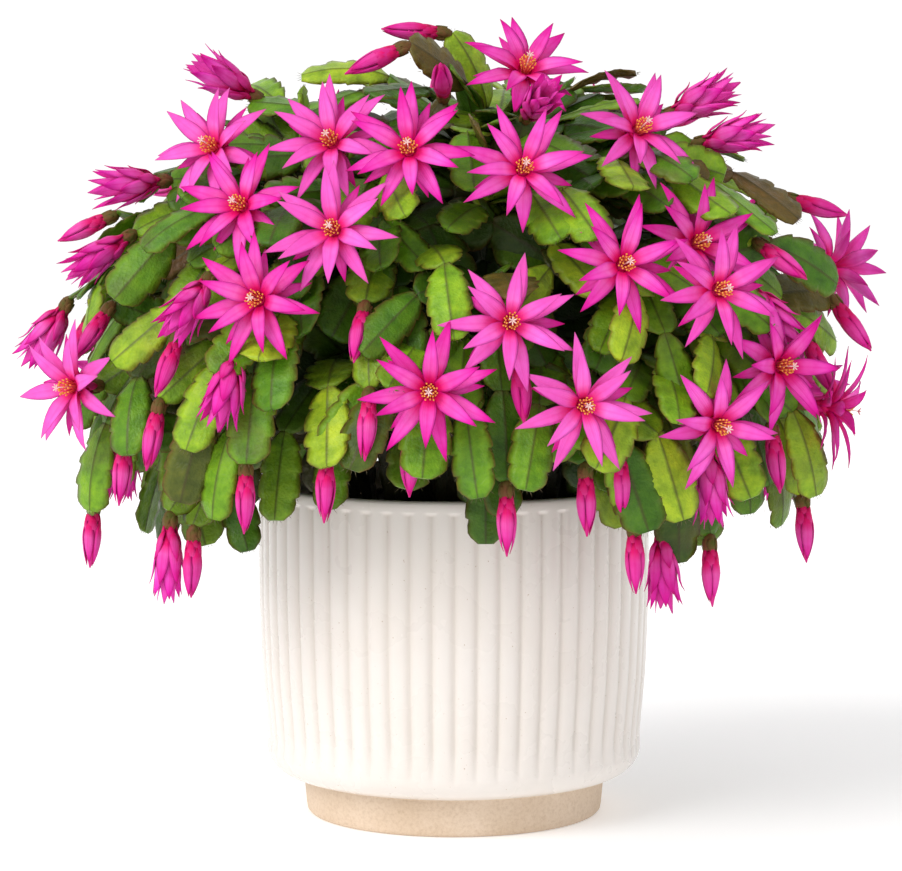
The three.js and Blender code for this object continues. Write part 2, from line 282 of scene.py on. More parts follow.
def flower_axis(spot):
    if spot["kind"] == "bloom":
        centre = 180.0 if spot["azimuth"] > 100 else 0.0
        azimuth = spot.get("face", centre + FACE_SHARE * (spot["azimuth"] - centre))
        return direction(azimuth, spot.get("look", chart(BLOOM_TILT, spot["height"])))
    if "point" in spot:
        return direction(*spot["point"])
    return direction(spot["azimuth"], -min(STEEPEST, chart(DROOP, spot["height"]) + BUD_NOD))


def stem_end(spot):
    back = {"bloom": BLOOM_LENGTH - BLOOM_OVERLAP, "leaf": 0.0}.get(spot["kind"], BUD_LENGTH / 2)
    out = direction(spot["azimuth"], 0.0) * spot["out"]
    return dome_point(spot["azimuth"], spot["height"]) + out - back * flower_axis(spot)


# %% [markdown]
# Stems follow Bezier curves. Measuring along the curve, not along its parameter, lets pads of
# equal length be set end to end.


# %% Curves measured by their length
CURVE_STEPS = 120
STEM_FRESHNESS = 0.05
SHOOT_FRESHNESS = 0.12


class Curve:
    def __init__(self, a, b, c, d):
        t = np.linspace(0.0, 1.0, CURVE_STEPS)[:, None]
        s = 1.0 - t
        self.points = s**3 * a + 3 * s * s * t * b + 3 * s * t * t * c + t**3 * d
        steps = np.linalg.norm(np.diff(self.points, axis=0), axis=1)
        self.run = np.concatenate([[0.0], np.cumsum(steps)])
        self.length = self.run[-1]
        self.count = max(1, round(self.length / PAD_LENGTH))
        self.freshness = STEM_FRESHNESS
        self.pad_width = VISIBLE_WIDTH

    def at(self, share):
        return np.array([np.interp(share * self.length, self.run, column)
                         for column in self.points.T])

    def heading(self, share):
        ahead = self.at(min(1.0, share + 0.01))
        behind = self.at(max(0.0, share - 0.01))
        return unit(ahead - behind)


# %% [markdown]
# A stem leaves the soil almost upright, rises higher the higher its tip is, and comes in along
# the droop that belongs to that height. A shoot leaves halfway between the stem's heading and
# the straight way to its own tip. It forks off the joint from which it has the least to climb.

# %% Stems and flowering shoots
ROOT_SINK = 4.0
STEM_LEAN = 0.08
STEM_RISE = 75.0
RISE_GAIN = 0.55
STEM_APPROACH = 0.34
SHOOT_HANDLE = 0.3
SHORTEST_SHOOT = 26.0
CLIMB_COST = 3.0
CROWDED_COST = 100.0


def stem_curve(spots):
    first = spots[0]
    radius = chart(ROOT_RADIUS, first["height"])
    root = direction(first.get("root", first["azimuth"]), 0.0) * radius
    root[2] = SOIL_TOP - ROOT_SINK
    end = stem_end(first)
    flat = (end - root) * (1.0, 1.0, 0.0)
    reach = np.linalg.norm(flat)
    flat = unit(flat)
    droop = math.radians(chart(DROOP, first["height"]))
    heading = flat * math.cos(droop) - UP * math.sin(droop)
    rise = first.get("rise", STEM_RISE + RISE_GAIN * (end[2] - SOIL_TOP))
    lean = root + flat * STEM_LEAN * reach + UP * rise
    approach = end - heading * STEM_APPROACH * np.linalg.norm(end - root)
    return Curve(root, lean, approach, end)


def shoot_curve(stem, share, spot):
    joint = stem.at(share)
    end = stem_end(spot)
    span = np.linalg.norm(end - joint)
    heading = unit(unit(end - joint) + stem.heading(share))
    usual = (spot["azimuth"], -chart(DROOP, spot["height"]))
    axis = direction(*spot.get("point", usual))
    return Curve(joint, joint + heading * SHOOT_HANDLE * span, end - axis * SHOOT_HANDLE * span, end)


def joint_shares(stem):
    first = math.ceil(stem.count * WOODY_SHARE)
    return [k / stem.count for k in range(first, stem.count)]


def fork_cost(stem, share, end):
    joint = stem.at(share)
    distance = np.linalg.norm(joint - end)
    crowded = CROWDED_COST if distance < SHORTEST_SHOOT else 0.0
    return distance + CLIMB_COST * max(0.0, end[2] - joint[2]) + crowded


stems = [stem_curve(spots) for spots in CANES]
shoots = [[] for _ in CANES]
for row, spots in enumerate(CANES):
    for spot in spots[1:]:
        end = stem_end(spot)
        best = min(joint_shares(stems[row]), key=lambda s: fork_cost(stems[row], s, end))
        shoot = shoot_curve(stems[row], best, spot)
        shoot.freshness = SHOOT_FRESHNESS
        shoots[row].append(shoot)
print("longest stem", round(max(stem.length for stem in stems)), "mm")

# %% [markdown]
# Between the flowering shoots the crown is filled with leafy ones that carry no bud. Their tips
# are spread by the golden angle, the spacing that plants use themselves. The outer ones drape
# down over the dome, others fill the inside, and a last set hangs over the pot's rim. The front
# also has shoots that are listed one by one, because they show. Each leaves the stem joint that
# lies best above it.

# %% Leafy shoots between the flowering ones
GOLDEN_ANGLE = 137.508
LEAFY_SETS = (
    # shoots, lowest, highest, deepest, shallowest, freshness, pad width
    (130, 118.0, 322.0, -34.0, -14.0, 0.1, 18.5),
    (84, 150.0, 300.0, -74.0, -36.0, -0.2, 29.0),
    (58, 136.0, 186.0, -80.0, -50.0, -0.15, 21.0),
)
SHOW_SHOOTS = (
    # azimuth and height of the tip, and how long the shoot is
    (0, 216, 105), (-8, 197, 60), (8, 232, 50), (21, 207, 60), (20, 254, 60), (-23, 188, 60),
    (-16, 166, 90), (-31, 201, 50), (-36, 170, 70), (-39, 148, 90), (-49, 203, 70),
    (-62, 139, 90), (-47, 166, 80), (-48, 248, 60), (-51, 228, 70), (9, 157, 60), (3, 154, 60),
    (27, 138, 90), (32, 142, 90), (44, 262, 60), (64, 232, 70), (59, 146, 90), (33, 193, 60),
    (29, 182, 60), (-27, 166, 70), (-34, 142, 90), (-7, 263, 50), (4, 298, 45), (-25, 207, 50),
    (45, 217, 60), (-26, 251, 50), (28, 273, 50), (-36, 310, 50), (40, 276, 50), (52, 254, 60),
    (-13, 165, 70), (-4, 162, 70), (18, 165, 70), (43, 149, 90),
)
SHOW_SET_BACK = -6.0
SHOW_WIDTH = 20.0
CANE_LEAVES = ((-12.0, 26.0), (11.0, 52.0))
LOWEST_LEAF = 126.0
LEAFY_SET_BACK = -26.0
LEAFY_SPAN = 72.0
LEAFY_HEADROOM = 8.0
LEAFY_CLIMB_COST = 2.0
LEAFY_START = 0.35
LEAFY_APPROACH = 0.42
SEED = 7

rng = np.random.default_rng(SEED)
joints = [(row, share) for row, stem in enumerate(stems) for share in joint_shares(stem)]


def dome_share(point):
    """1 on the dome's skin, less inside it."""
    across = (point[0] / DOME_RADIUS) ** 2 + (point[1] / (DOME_DEPTH * DOME_RADIUS)) ** 2
    return math.sqrt(across + (max(0.0, point[2] - DOME_WAIST) / DOME_RISE) ** 2)


def dome_normal(point):
    rise = max(0.0, point[2] - DOME_WAIST) / DOME_RISE**2
    across = point[0] / DOME_RADIUS**2
    return unit(np.array([across, point[1] / (DOME_DEPTH * DOME_RADIUS)**2, rise]))


def leafy_cost(joint, end, wanted):
    place = stems[joint[0]].at(joint[1])
    below = max(0.0, end[2] + LEAFY_HEADROOM - place[2])
    return abs(np.linalg.norm(place - end) - wanted) + LEAFY_CLIMB_COST * below


def best_joint(end, wanted):
    return min(joints, key=lambda candidate: leafy_cost(candidate, end, wanted))


def leafy_curve(joint, end, scatter):
    stem = stems[joint[0]]
    start = stem.at(joint[1])
    span = np.linalg.norm(end - start)
    heading = unit(unit(end - start) + stem.heading(joint[1]))
    normal = dome_normal(end)
    downhill = unit(normal * normal[2] - UP + rng.normal(0.0, scatter, 3))
    return Curve(start, start + heading * LEAFY_START * span,
                 end - downhill * LEAFY_APPROACH * span, end)


for row, spots in enumerate(CANES):
    for turn, drop in CANE_LEAVES:
        spot = tip("leaf", spots[0]["azimuth"] + turn,
                   max(LOWEST_LEAF, spots[0]["height"] - drop), LEAFY_SET_BACK)
        end = stem_end(spot)
        best = min(joint_shares(stems[row]), key=lambda s: fork_cost(stems[row], s, end))
        shoots[row].append(shoot_curve(stems[row], best, spot))

for azimuth, height, wanted in SHOW_SHOOTS:
    end = dome_point(azimuth, height) + direction(azimuth, 0.0) * SHOW_SET_BACK
    joint = best_joint(end, wanted)
    shoot = leafy_curve(joint, end, 0.1)
    shoot.freshness = rng.uniform(0.0, 0.34)
    shoot.pad_width = SHOW_WIDTH
    shoots[joint[0]].append(shoot)

for count, lowest, highest, deepest, shallowest, freshness, width in LEAFY_SETS:
    for i in range(count):
        height = lowest + (highest - lowest) * ((i + 0.5) / count) ** 0.9
        azimuth = (i * GOLDEN_ANGLE) % 360.0 - 100.0
        out = rng.uniform(deepest, shallowest)
        end = dome_point(azimuth, height) + direction(azimuth, 0.0) * out
        joint = best_joint(end, LEAFY_SPAN)
        shoot = leafy_curve(joint, end, 0.22)
        shoot.freshness = freshness + rng.uniform(-0.12, 0.12)
        shoot.pad_width = width
        shoots[joint[0]].append(shoot)
print("shoots in all:", sum(len(row) for row in shoots))

# %% [markdown]
# ## Mesh building
#
# Everything that grows is built from grids of points. A small sheaf collects the points, the
# faces and four painted values a point, and turns them into one object at the end. One object
# a cane keeps the model light and still easy to take apart.


# %% A sheaf of points and faces
class Sheaf:
    def __init__(self):
        self.points = []
        self.faces = []
        self.paint = []
        self.total = 0

    def add(self, points, faces, paint):
        self.points.append(points)
        self.faces.extend(tuple(i + self.total for i in face) for face in faces)
        self.paint.append(paint)
        self.total += len(points)

    def build(self, name, materials, node=None, slot="stem_pad", face_material=None):
        mesh = bpy.data.meshes.new(name)
        points = np.concatenate(self.points) * MM
        mesh.from_pydata(points.tolist(), [], self.faces)
        layer = mesh.attributes.new("paint", "FLOAT_COLOR", "POINT")
        layer.data.foreach_set("color", np.concatenate(self.paint).astype(np.float32).ravel())
        for material in materials:
            mesh.materials.append(material)
        if face_material is not None:
            mesh.polygons.foreach_set("material_index", face_material)
        mesh.polygons.foreach_set("use_smooth", [True] * len(mesh.polygons))
        mesh.update()
        piece = bpy.data.objects.new(name, mesh)
        scene.collection.objects.link(piece)
        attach(piece, "root")
        if node:
            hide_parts(node)


def grid_faces(rows, columns):
    faces = []
    for i in range(rows - 1):
        for j in range(columns - 1):
            a = i * columns + j
            faces.append((a, a + 1, a + columns + 1, a + columns))
    return faces


def ring_faces(rings, sides, flip=False):
    """Faces between closed rings of points."""
    faces = []
    for i in range(rings - 1):
        for j in range(sides):
            k = (j + 1) % sides
            quad = (i * sides + j, i * sides + k, (i + 1) * sides + k, (i + 1) * sides + j)
            faces.append(quad[:1] + quad[:0:-1] if flip else quad)
    return faces


# %% [markdown]
# A leaf, a petal and a scale are all the same closed shape: an upper sheet and a lower sheet
# that share their rim. The faces are the same for every one of them, so they are worked out
# once for each size of grid.


# %% The closed two-sided sheet
def sheet_faces(rows, columns):
    """Faces of an upper grid and a lower grid; the lower one lacks the rim columns."""
    inner = columns - 2
    start = rows * columns

    def lower(i, j):
        if j in (0, columns - 1):
            return i * columns + j
        return start + i * inner + j - 1

    faces = grid_faces(rows, columns)
    for i in range(rows - 1):
        for j in range(columns - 1):
            faces.append((lower(i, j), lower(i + 1, j), lower(i + 1, j + 1), lower(i, j + 1)))
    for i, flip in ((0, False), (rows - 1, True)):
        top = [i * columns + j for j in range(columns)]
        under = [lower(i, j) for j in range(columns)]
        for j in range(columns - 1):
            ring = [under[j], under[j + 1], top[j + 1], top[j]]
            ring = list(dict.fromkeys(ring))
            faces.append(tuple(ring[::-1] if flip else ring))
    return faces


def sheet_points(upper, lower):
    """The points of both grids, or with one grid twice, what is painted on them."""
    width = upper.shape[-1]
    return np.concatenate([upper.reshape(-1, width), lower[:, 1:-1].reshape(-1, width)])


# %% [markdown]
# ## The pads
#
# An easter cactus has no leaves. Its stem is a chain of flat pads, each about 38 mm long, with a
# narrow foot, full shoulders, a blunt tip and shallow scallops along both sides. A raised rib
# runs down the middle. The margins and the rib are flushed with brownish red, and a few fine
# bristles stand in the notches and at the tip. The scallops are real geometry, because they
# make the outline against the light.

# %% Outline of a pad
LOBES = 4
LOBE_STEPS = ((0.0, 1.0), (0.3, 0.35), (0.68, 0.0), (0.92, 0.1))
NOTCH_DEPTH = 0.15
PAD_THICKNESS = 2.6
PAD_OVERLAP = 1.03
PAD_SINK = 0.6
PAD_RIB_RISE = 0.62
PAD_ROWS = LOBES * len(LOBE_STEPS) + 3
PAD_ACROSS = np.array([-1.0, -0.62, -0.09, 0.0, 0.09, 0.62, 1.0])
PAD_FACES = sheet_faces(PAD_ROWS, len(PAD_ACROSS))
OUTLINE = ((0.0, 0.05, 0.15, 0.3, 0.5, 0.72, 0.88, 0.95, 1.0),
           (0.2, 0.34, 0.66, 0.9, 1.0, 0.98, 0.86, 0.68, 0.38))


def pad_margin():
    """Stations and half widths down one side of a pad, and the places of its notches."""
    ends = np.linspace(0.05, 0.95, LOBES + 1)
    ends[1:-1] += rng.uniform(-0.04, 0.04, LOBES - 1)
    stations = [0.0]
    cuts = [0.0]
    for k in range(LOBES):
        for step, cut in LOBE_STEPS:
            stations.append(ends[k] + (ends[k + 1] - ends[k]) * step)
            cuts.append(cut if k else 0.0)
    stations += [0.955, 1.0]
    cuts += [0.6, 0.0]
    widths = np.interp(stations, *OUTLINE) * (1.0 - NOTCH_DEPTH * np.array(cuts))
    return np.array(stations), widths, ends[1:]


BRISTLE_PAINT = (0.0, 2.0, 1.0, 0.0)
BRISTLE_WIDTH = 0.13
TIP_BRISTLES = 4
TIP_FAN = 0.42
TIP_SPACING = 1.4


def bristle(sheaf, foot, way, length):
    side = unit(np.cross(way, (0.3, 0.5, 0.8)))
    other = np.cross(way, side)
    width = BRISTLE_WIDTH
    points = np.array([foot + side * width, foot - side * width * 0.5 + other * width,
                       foot - side * width * 0.5 - other * width, foot + way * length])
    paint = np.tile(BRISTLE_PAINT, (4, 1))
    sheaf.add(points, [(0, 1, 3), (1, 2, 3), (2, 0, 3), (0, 2, 1)], paint)


def add_pad(sheaf, start, end, width, age, roll):
    along = end - start
    length = np.linalg.norm(along)
    along = along / length
    middle = (start + end) / 2.0
    towards = np.clip(middle[1] / 60.0, -1.0, 1.0)
    outward = dome_normal(middle) + np.array([0.0, 0.75 * towards, 0.12])
    side = unit(np.cross(along, outward) + 0.15 * np.cross(along, UP))
    face = np.cross(side, along)
    turned_side = side * math.cos(roll) + face * math.sin(roll)
    face = face * math.cos(roll) - side * math.sin(roll)
    side = turned_side

    left, left_half, left_notches = pad_margin()
    right, right_half, right_notches = pad_margin()
    middle_line = (left + right)[:, None] / 2.0
    v = PAD_ACROSS[None, :]
    half = np.where(v < 0, left_half[:, None], right_half[:, None]) * width / 2.0
    reach = np.where(v < 0, left[:, None], right[:, None])
    u = middle_line + (reach - middle_line) * v**2
    x = v * half
    y = u * length * PAD_OVERLAP - PAD_SINK
    cup = rng.uniform(-0.15, 0.35)
    bend = rng.uniform(-0.02, 0.10)
    curl = rng.uniform(-0.5, 0.5)
    ripple = 0.45 * np.sin(u * LOBES * 2.0 * math.pi + curl * 5.0) * v**2
    level = (-cup * x**2 / width + bend * length * 4.0 * u * (1.0 - u) + ripple
             + curl * x * (u - 0.5) * 0.5)
    swell = (1.0 - np.abs(v) ** 2.4) * np.clip(4.0 * u + 0.35, 0.0, 1.0) * PAD_THICKNESS * 0.36
    rib = (np.abs(v) < 0.05) * (1.0 - 0.6 * u) * PAD_RIB_RISE

    def place(z):
        return start + x[..., None] * side + y[..., None] * along + z[..., None] * face

    # How deep inside the crown the pad lies; the pad material paints shade from it.
    depth = np.clip((0.9 - dome_share(middle)) / 0.36, 0.0, 1.0)
    paint = np.stack([np.broadcast_to(np.abs(v), x.shape), np.full(x.shape, age), u,
                      np.full(x.shape, depth)], axis=-1)
    sheaf.add(sheet_points(place(level + swell + rib), place(level - swell - rib)),
              PAD_FACES, sheet_points(paint, paint))
    if depth > 0.5:
        return
    for sign, notches in ((-1.0, left_notches), (1.0, right_notches)):
        for notch in notches:
            out = np.interp(notch, *OUTLINE) * width / 2.0 * (1.0 - 0.8 * NOTCH_DEPTH)
            reach = notch * length * PAD_OVERLAP - PAD_SINK
            foot = start + sign * out * side + reach * along
            foot = foot - face * cup * out**2 / width
            way = unit(sign * side * rng.uniform(0.5, 1.2) + along + face * rng.normal(0.0, 0.4))
            bristle(sheaf, foot, way, rng.uniform(1.0, 2.2))
    top = start + along * length * 1.02
    for k in range(TIP_BRISTLES):
        across = k - (TIP_BRISTLES - 1) / 2
        fan = across * TIP_FAN
        way = unit(along * math.cos(fan) + side * math.sin(fan) + face * rng.uniform(-0.3, 0.3))
        bristle(sheaf, top + side * across * TIP_SPACING, way, rng.uniform(1.4, 2.8))


# %% [markdown]
# ### The finish of the pads
#
# Young pads are a fresh yellow green and old ones a deep bottle green, some of them flushed with
# bronze. The painted values carry the age of each pad, the distance to its margin and rib, and
# how deep inside the crown it lies, so that one material serves them all. Pads deep inside the
# crown are darkened there as painted shade. The gloss is a soft wax bloom, broken by faint mottling.


# %% Small helpers for node materials
def new_node(tree, kind, **values):
    node = tree.nodes.new(kind)
    for key, value in values.items():
        setattr(node, key, value)
    return node


def ramp(tree, stops, source):
    node = tree.nodes.new("ShaderNodeValToRGB")
    elements = node.color_ramp.elements
    while len(elements) < len(stops):
        elements.new(0.5)
    for element, (position, colour) in zip(elements, stops):
        element.position = position
        element.color = (*colour, 1.0)
    tree.links.new(source, node.inputs["Fac"])
    return node.outputs["Color"]


def mix_colour(tree, factor, a, b, blend="MIX"):
    node = new_node(tree, "ShaderNodeMix", data_type="RGBA", blend_type=blend)
    wire(tree, node, {0: factor, 6: a, 7: b})
    return node.outputs[2]


def maths(tree, operation, a, b=0.0):
    node = new_node(tree, "ShaderNodeMath", operation=operation)
    wire(tree, node, {0: a, 1: b})
    return node.outputs[0]


def noise(tree, scale, detail=3.0, roughness=0.55):
    place = tree.nodes.new("ShaderNodeTexCoord")
    node = tree.nodes.new("ShaderNodeTexNoise")
    wire(tree, node, {"Scale": scale, "Detail": detail, "Roughness": roughness,
                      "Vector": place.outputs["Object"]})
    return node.outputs["Fac"]


def bump(tree, height, strength, distance):
    node = tree.nodes.new("ShaderNodeBump")
    wire(tree, node, {"Strength": strength, "Distance": distance, "Height": height})
    return node.outputs["Normal"]


def painted(tree):
    layer = new_node(tree, "ShaderNodeAttribute", attribute_name="paint")
    parts = tree.nodes.new("ShaderNodeSeparateColor")
    tree.links.new(layer.outputs["Color"], parts.inputs["Color"])
    return (*(parts.outputs[name] for name in ("Red", "Green", "Blue")), layer.outputs["Alpha"])


def near_one(tree, source, power, amount):
    """For what shows along an edge: rises to amount where the source is 1."""
    return maths(tree, "MULTIPLY", maths(tree, "POWER", source, power), amount)


def above_zero(tree, source, amount):
    return maths(tree, "MULTIPLY", maths(tree, "MAXIMUM", source, 0.0), amount)


def near_zero(tree, source, slope, amount):
    """For what shows along a middle line or a joint: falls from amount where the source is 0."""
    fall = maths(tree, "SUBTRACT", 1.0, maths(tree, "MULTIPLY", source, slope))
    return above_zero(tree, fall, amount)


# %% Pad material
BRONZE = (0.14, 0.085, 0.03)
PALE_EDGE = (0.33, 0.38, 0.05)
RED_MARGIN = (0.2, 0.05, 0.025)
DARK_RIB = (0.06, 0.05, 0.015)
BROWN_JOINT = (0.15, 0.09, 0.04)
INNER_SHADE = (0.006, 0.012, 0.004)


def make_pad_material():
    material, tree, shader = node_material("waxy green pad")
    edge, age, along, depth = painted(tree)
    mottle = noise(tree, 120.0, 5.0, 0.65)
    base = ramp(tree, [
        (0.0, (0.34, 0.5, 0.022)), (0.13, (0.195, 0.4, 0.013)), (0.26, (0.092, 0.245, 0.01)),
        (0.4, (0.04, 0.122, 0.008)), (0.46, (0.115, 0.088, 0.016)), (0.5, (0.18, 0.068, 0.024)),
        (1.0, (0.62, 0.5, 0.34)),
    ], maths(tree, "MULTIPLY", age, 0.5))
    patches = ramp(tree, [(0.3, (0.42, 0.5, 0.4)), (0.48, (0.9, 0.92, 0.85)),
                          (0.66, (1.5, 1.3, 1.15))], mottle)
    base = mix_colour(tree, 0.85, base, patches, "MULTIPLY")
    bronze = ramp(tree, [(0.56, (0.0, 0.0, 0.0)), (0.75, (0.55, 0.55, 0.55))], noise(tree, 24.0))
    base = mix_colour(tree, bronze, base, BRONZE)
    base = mix_colour(tree, near_one(tree, edge, 5.0, 0.3), base, PALE_EDGE)
    base = mix_colour(tree, near_one(tree, edge, 14.0, 0.75), base, RED_MARGIN)
    base = mix_colour(tree, near_zero(tree, edge, 9.0, 0.75), base, DARK_RIB)
    base = mix_colour(tree, near_zero(tree, along, 9.0, 0.7), base, BROWN_JOINT)
    # Pads deep inside the crown are painted darker: painted shade.
    base = mix_colour(tree, maths(tree, "MULTIPLY", depth, 0.85), base, INNER_SHADE)
    gloss = maths(tree, "ADD", maths(tree, "MULTIPLY", noise(tree, 160.0), 0.3), 0.24)
    skin = maths(tree, "ADD", noise(tree, 900.0, 2.0), maths(tree, "MULTIPLY", mottle, 2.5))
    wire(tree, shader, {"Base Color": base, "Roughness": gloss, "Specular IOR Level": 0.27,
                        "Normal": bump(tree, skin, 0.45, 0.0008)})
    return material


pad_material = make_pad_material()

# %% [markdown]
# The pads are set end to end along every stem and shoot. Near the soil they are narrow and
# woody. Towards a tip they get fresher in colour, and each is rolled a little on its own.

# %% Canes
WOODY_WIDTH = 11.0
SHOOT_PAD = 37.0
SHORTEST_PAD = 13.0


def pad_joints(curve, is_stem):
    """Shares of the length where pads meet; a shoot is measured back from its tip."""
    if is_stem:
        return [k / curve.count for k in range(curve.count + 1)]
    marks = [1.0]
    while marks[-1] * curve.length > SHORTEST_PAD + SHOOT_PAD:
        marks.append(marks[-1] - SHOOT_PAD / curve.length)
    return [0.0] + marks[::-1]


def add_chain(sheaf, curve, is_stem):
    joints_here = pad_joints(curve, is_stem)
    for share, after in zip(joints_here, joints_here[1:]):
        is_woody = is_stem and share < WOODY_SHARE
        width = WOODY_WIDTH if is_woody else curve.pad_width * rng.uniform(0.86, 1.14)
        width = min(width, max(WOODY_WIDTH, 0.7 * (after - share) * curve.length))
        age = 0.94 if is_woody else np.clip(
            0.56 - 0.2 * share - curve.freshness + rng.normal(0.0, 0.2), 0.0, 0.82)
        if not is_woody and rng.random() < 0.08:
            age = rng.uniform(0.84, 0.98)
        add_pad(sheaf, curve.at(share), curve.at(after), width, age, rng.normal(0.0, 0.24))
    return len(joints_here) - 1


pad_total = 0
for row, stem in enumerate(stems):
    cane = Sheaf()
    pad_total += add_chain(cane, stem, True)
    for shoot in shoots[row]:
        pad_total += add_chain(cane, shoot, False)
    cane.build(f"stems_{row + 1:02d}", [pad_material], f"cane_{row + 1:02d}")
print("pads:", pad_total)

# %% [markdown]
# ## The flowers
#
# A bloom is a star of pointed petals in three whorls on a short tube. The petals are one closed
# sheet each: narrow at the throat, widest at mid length and drawn out to a fine point, with a
# shallow channel down the middle. A list of angles off the flower's axis says how a petal
# curves: small angles keep it straight ahead, as in a bud, and large ones lay it flat out.

# %% One petal
PETAL_ROWS = 9
PETAL_ACROSS = np.array([-1.0, -0.55, 0.0, 0.55, 1.0])
PETAL_FACES = sheet_faces(PETAL_ROWS, len(PETAL_ACROSS))
PETAL_ALONG = np.linspace(0.0, 1.0, PETAL_ROWS)
PETAL_SHAPE = ((0.0, 0.18, 0.36, 0.55, 0.75, 0.9, 1.0), (0.4, 0.74, 1.0, 0.93, 0.6, 0.27, 0.03))


def add_petal(sheaf, basis, origin, turn, foot, angles, length, width, wrap, channel, hue, green):
    """A petal whose mid line starts at foot (radius, height) and follows angles off the axis."""
    side_x, side_y, axis = basis
    steps = np.diff(PETAL_ALONG, prepend=0.0) * length
    lean = np.radians(np.interp(PETAL_ALONG, np.linspace(0.0, 1.0, len(angles)), angles))
    radius = foot[0] + np.cumsum(steps * np.sin(lean))
    rise = foot[1] + np.cumsum(steps * np.cos(lean))
    radius = np.maximum(radius, 0.05)
    span = np.interp(PETAL_ALONG, PETAL_SHAPE[0], PETAL_SHAPE[1]) * width / 2.0
    v = PETAL_ACROSS[None, :]
    across = span[:, None] * v
    spread = wrap * across / np.maximum(radius, 1.6)[:, None]
    straight = (1.0 - wrap) * across
    lift = channel * (np.abs(v) ** 1.6) * span[:, None]
    thick = 0.34 * (1.0 - np.abs(v) ** 2) * np.interp(PETAL_ALONG, (0, 0.8, 1), (1.6, 1.0, 0.3))[:, None]
    cos_t = np.cos(turn + spread)
    sin_t = np.sin(turn + spread)
    normal_r = -np.cos(lean)[:, None]
    normal_h = np.sin(lean)[:, None]

    def place(offset):
        r = radius[:, None] + normal_r * (lift + offset)
        h = rise[:, None] + normal_h * (lift + offset)
        x = r * cos_t - straight * math.sin(turn)
        y = r * sin_t + straight * math.cos(turn)
        return (origin + x[..., None] * side_x + y[..., None] * side_y + h[..., None] * axis)

    along = np.broadcast_to(PETAL_ALONG[:, None], across.shape)
    edge = np.broadcast_to(np.abs(v), across.shape)
    paint = np.stack([along, edge, np.full(across.shape, hue), np.full(across.shape, green)], axis=-1)
    sheaf.add(sheet_points(place(thick), place(-thick)), PETAL_FACES, sheet_points(paint, paint))


# %% [markdown]
# The tube and the green ovary under it are turned shapes, as a potter would turn them.


# %% Turned shapes around the flower's axis
def axis_basis(axis, spin=0.0):
    first = unit(np.cross(axis, (0.21, 0.93, 0.3)))
    second = np.cross(axis, first)
    return (first * math.cos(spin) + second * math.sin(spin),
            second * math.cos(spin) - first * math.sin(spin), axis)


def add_turned(sheaf, basis, origin, profile, sides, paint_value, flute=0.0):
    side_x, side_y, axis = basis
    turns = np.linspace(0.0, 2.0 * math.pi, sides, endpoint=False)
    rings = []
    for radius, height in profile:
        wave = radius * (1.0 + flute * np.cos(5 * turns))
        rings.append(origin + np.outer(wave * np.cos(turns), side_x)
                     + np.outer(wave * np.sin(turns), side_y) + height * axis)
    points = np.concatenate(rings + [[origin + profile[0][1] * axis,
                                      origin + profile[-1][1] * axis]])
    count = len(profile)
    faces = ring_faces(count, sides)
    for j in range(sides):
        k = (j + 1) % sides
        faces.append((count * sides, k, j))
        last = (count - 1) * sides
        faces.append((count * sides + 1, last + j, last + k))
    paint = np.tile(paint_value, (len(points), 1)).astype(float)
    sheaf.add(points, faces, paint)


# %% [markdown]
# ### The finish of the petals
#
# The petals are magenta, deepest at the throat and along the margins and almost orchid pink in
# the middle. Fine veins run lengthwise. Painted alpha tells petals (0) from the green ovary (1).


# %% Petal material
PETAL_RIM = (0.84, 0.006, 0.38)
PETAL_KEEL = (0.86, 0.008, 0.33)
DEEP_RED = (0.54, 0.006, 0.085)
ORCHID = (0.97, 0.26, 0.75)


def make_petal_material():
    material, tree, shader = node_material("magenta petal")
    along, edge, hue, green = painted(tree)
    colour = ramp(tree, [
        (0.0, (0.72, 0.004, 0.07)), (0.18, (0.92, 0.008, 0.2)), (0.38, (0.97, 0.1, 0.55)),
        (0.64, (0.95, 0.075, 0.58)), (0.88, (0.82, 0.01, 0.4)), (1.0, (0.42, 0.006, 0.1)),
    ], along)
    colour = mix_colour(tree, near_one(tree, edge, 2.5, 0.65), colour, PETAL_RIM)
    colour = mix_colour(tree, near_zero(tree, edge, 4.0, 0.35), colour, PETAL_KEEL)
    cloud = ramp(tree, [(0.35, (0.84, 0.4, 0.72)), (0.65, (1.06, 2.1, 1.25))], noise(tree, 70.0))
    colour = mix_colour(tree, 0.7, colour, cloud, "MULTIPLY")
    colour = mix_colour(tree, above_zero(tree, hue, 0.8), colour, DEEP_RED)
    faded = above_zero(tree, maths(tree, "MULTIPLY", hue, -1.0), along)
    colour = mix_colour(tree, faded, colour, ORCHID)
    ovary = ramp(tree, [(0.3, (0.09, 0.1, 0.018)), (0.7, (0.2, 0.07, 0.035))], noise(tree, 260.0))
    colour = mix_colour(tree, green, colour, ovary)
    veins = maths(tree, "SINE", maths(tree, "MULTIPLY", edge, 26.0))
    relief = maths(tree, "ADD", maths(tree, "MULTIPLY", veins, 0.25), noise(tree, 420.0))
    wire(tree, shader, {"Base Color": colour, "Roughness": 0.5, "Specular IOR Level": 0.1,
                        "Normal": bump(tree, relief, 0.3, 0.0004)})
    return material


petal_material = make_petal_material()

# %% [markdown]
# Blooms, half-open flowers and buds come out of one recipe. The whorls differ in how far they
# lean out, and a bud's petals wrap round each other like roof tiles.

